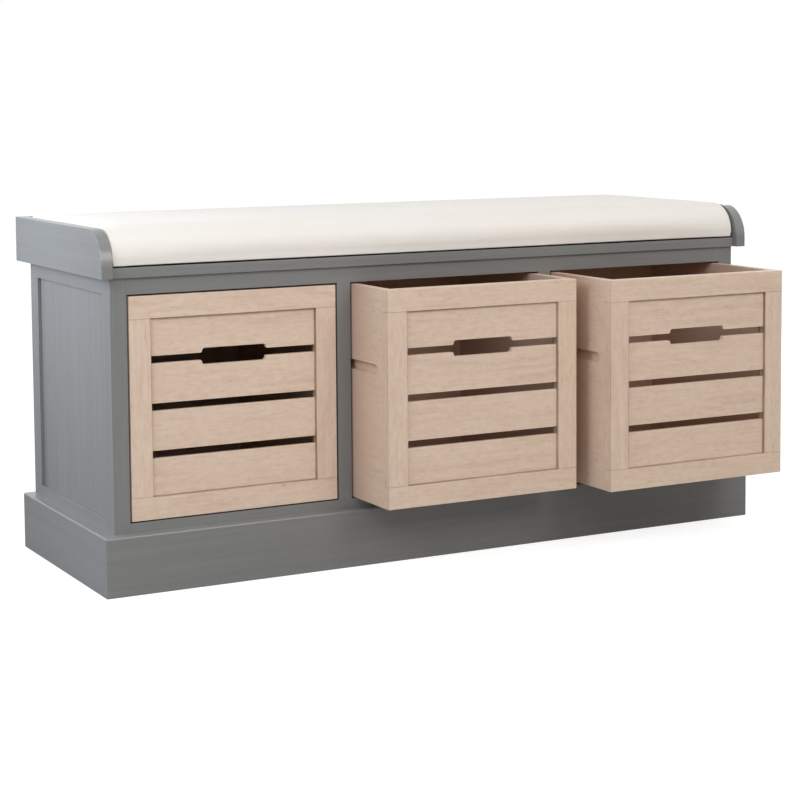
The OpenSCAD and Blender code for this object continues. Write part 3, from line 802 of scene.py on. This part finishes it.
only(cover)
edit("EDGE")
seam_edges = pick_edges(cover, lambda a, b: on_seam(a) and on_seam(b) and near(a.x, b.x))
bpy.ops.mesh.bevel(offset=SEAM_WIDTH, segments=2, affect="EDGES", clamp_overlap=True)
middle_edges = pick_edges(cover, lambda a, b: on_seam(a) and on_seam(b) and near(a.x, b.x))
bpy.ops.transform.shrink_fatten(value=-SEAM_DEPTH)
bpy.ops.object.mode_set(mode="OBJECT")
print("seam edges:", seam_edges, middle_edges)

# %% [markdown]
# The cloth that swells is a copy of the cover, remeshed to even squares, which loses the
# seam. Pressure inside pushes it out while gravity is off. How far it may go is limited
# smoothly, and the cover stays between the end boards and flat on the seat.

# %% Swell the cloth
CLOTH_CELL = 6 * MM
PRESSURE = 0.6
FRAMES = 20
# The foam's flat ends hold the cover out, so they draw in by only this share.
END_GIVE = 0.3
# How far the cover may stand past its CAD box at the sides and back, and at the front.
ROOM, FRONT_ROOM = 0.4 * MM, 2 * MM


def set_points(mesh, at):
    """Moves a mesh's vertices to these places."""
    mesh.vertices.foreach_set("co", at.ravel())
    mesh.update()


def swell(cover):
    """Blows up a cloth copy of the cover, and lets the cover follow it."""
    cloth = bpy.data.objects.new("cushion_cloth", cover.data.copy())
    scene.collection.objects.link(cloth)
    apply_modifier(cloth, "REMESH", mode="VOXEL", voxel_size=CLOTH_CELL)
    apply_modifier(cloth, "TRIANGULATE")
    rest = points_of(cloth.data)

    only(cover)
    follow = cover.modifiers.new("follow", "SURFACE_DEFORM")
    follow.target = cloth
    bpy.ops.object.surfacedeform_bind(modifier=follow.name)
    print("bound to the cloth:", follow.is_bound)

    blow = cloth.modifiers.new("cloth", "CLOTH")
    blow.settings.use_pressure = True
    blow.settings.uniform_pressure_force = PRESSURE
    blow.settings.effector_weights.gravity = 0
    blow.point_cache.frame_end = FRAMES
    for number in range(1, FRAMES + 1):
        scene.frame_set(number)
    seen = cloth.evaluated_get(bpy.context.evaluated_depsgraph_get())
    moved = points_of(seen.data) - rest
    cloth.modifiers.remove(blow)
    scene.frame_set(1)

    moved[:, 0] *= END_GIVE
    length = np.linalg.norm(moved, axis=1, keepdims=True) + 1e-12
    limited = moved / length * SWELL * np.tanh(length / SWELL)
    print("swell (mm): free", round(length.max() / MM, 1), "kept",
          round(np.linalg.norm(limited, axis=1).max() / MM, 1))
    set_points(cloth.data, rest + limited)
    only(cover)
    bpy.ops.object.modifier_apply(modifier=follow.name)
    bpy.data.objects.remove(cloth)


swell(cover)
apply_modifier(cover, "SUBSURF", levels=1, render_levels=1)
at = points_of(cover.data)
at[:, 0] = np.clip(at[:, 0], low.x - ROOM, high.x + ROOM)
at[:, 1] = np.clip(at[:, 1], low.y - FRONT_ROOM, high.y + ROOM)
at[:, 2] = np.maximum(at[:, 2], low.z)
set_points(cover.data, at)
only(cover)
bpy.ops.object.shade_smooth()
print("cushion box (mm):", (at.min(0) / MM).round(1), (at.max(0) / MM).round(1),
      "faces", len(cover.data.polygons))

# %% [markdown]
# Cloth has its own directions too. The cover was cut as one strip that runs from the back, over
# the top and down the front, so its threads follow that path. Each point gets its distance
# along the strip, worked out from the rounded front: straight on top, an arc over the nose.

# %% Thread directions
# A point whose normal leans this far along X lies on an end panel.
END_FACING = 0.75

nose_y, nose_z = low.y + NOSE_R, high.z - NOSE_R
over_nose = np.arctan2(nose_y - at[:, 1], np.maximum(at[:, 2] - nose_z, 1e-6))
run = np.where(at[:, 1] > nose_y, at[:, 1] - nose_y, -NOSE_R * over_nose)
run = np.where(at[:, 2] < nose_z, -NOSE_R * math.pi / 2 + (at[:, 2] - nose_z), run)
normals = np.zeros(len(at) * 3)
cover.data.vertex_normals.foreach_get("vector", normals)
on_end = np.abs(normals.reshape(-1, 3)[:, 0]) > END_FACING
across = np.where(on_end, high.z - at[:, 2], at[:, 0])
run = np.where(on_end, at[:, 1], run)
write_points(cover, "thread_at", "FLOAT_VECTOR", np.stack([across, run, 0 * run], 1))
print("strip length (mm):", round((run.max() - run.min()) / MM))


# %% Cotton
def cream_cotton():
    """A plain weave: two sets of threads, each over and under the other."""
    finish = Finish("cream_cotton", {"Roughness": 0.85, "Sheen Weight": 0.15,
                                     "Sheen Roughness": 0.5, "Specular IOR Level": 0.2})
    thread = finish.read("thread_at")
    pitch = 0.9 * MM
    turn = 2 * math.pi / pitch
    warp, weft, _ = finish.split(thread)
    slub = finish.noise(finish.vector("MULTIPLY", thread, (900, 60, 60)), detail=2)
    slub_weft = finish.noise(finish.vector("MULTIPLY", thread, (60, 900, 60)), detail=2)
    weave = finish.math("SINE", warp * turn + slub) * finish.math("SINE", weft * turn + slub_weft)
    clouds = finish.noise(thread, scale=9, detail=3)
    share = 0.30 * slub + 0.30 * slub_weft + 0.10 * weave + 0.25 * clouds
    finish.set("Base Color", finish.mix(share, rgb(247, 243, 236), rgb(234, 227, 216)))
    height = 0.5 * weave + 0.4 * slub + 0.4 * slub_weft
    ripples = finish.bump(finish.noise(thread, scale=14, detail=1), 1.2 * MM)
    finish.set("Normal", finish.bump(height, 0.10 * MM, under=ripples))
    return finish.material


cover.data.materials.clear()
cover.data.materials.append(cream_cotton())
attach(cover, "cushion")
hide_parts("cushion_cover", "cushion_foam")
print("cushion done")
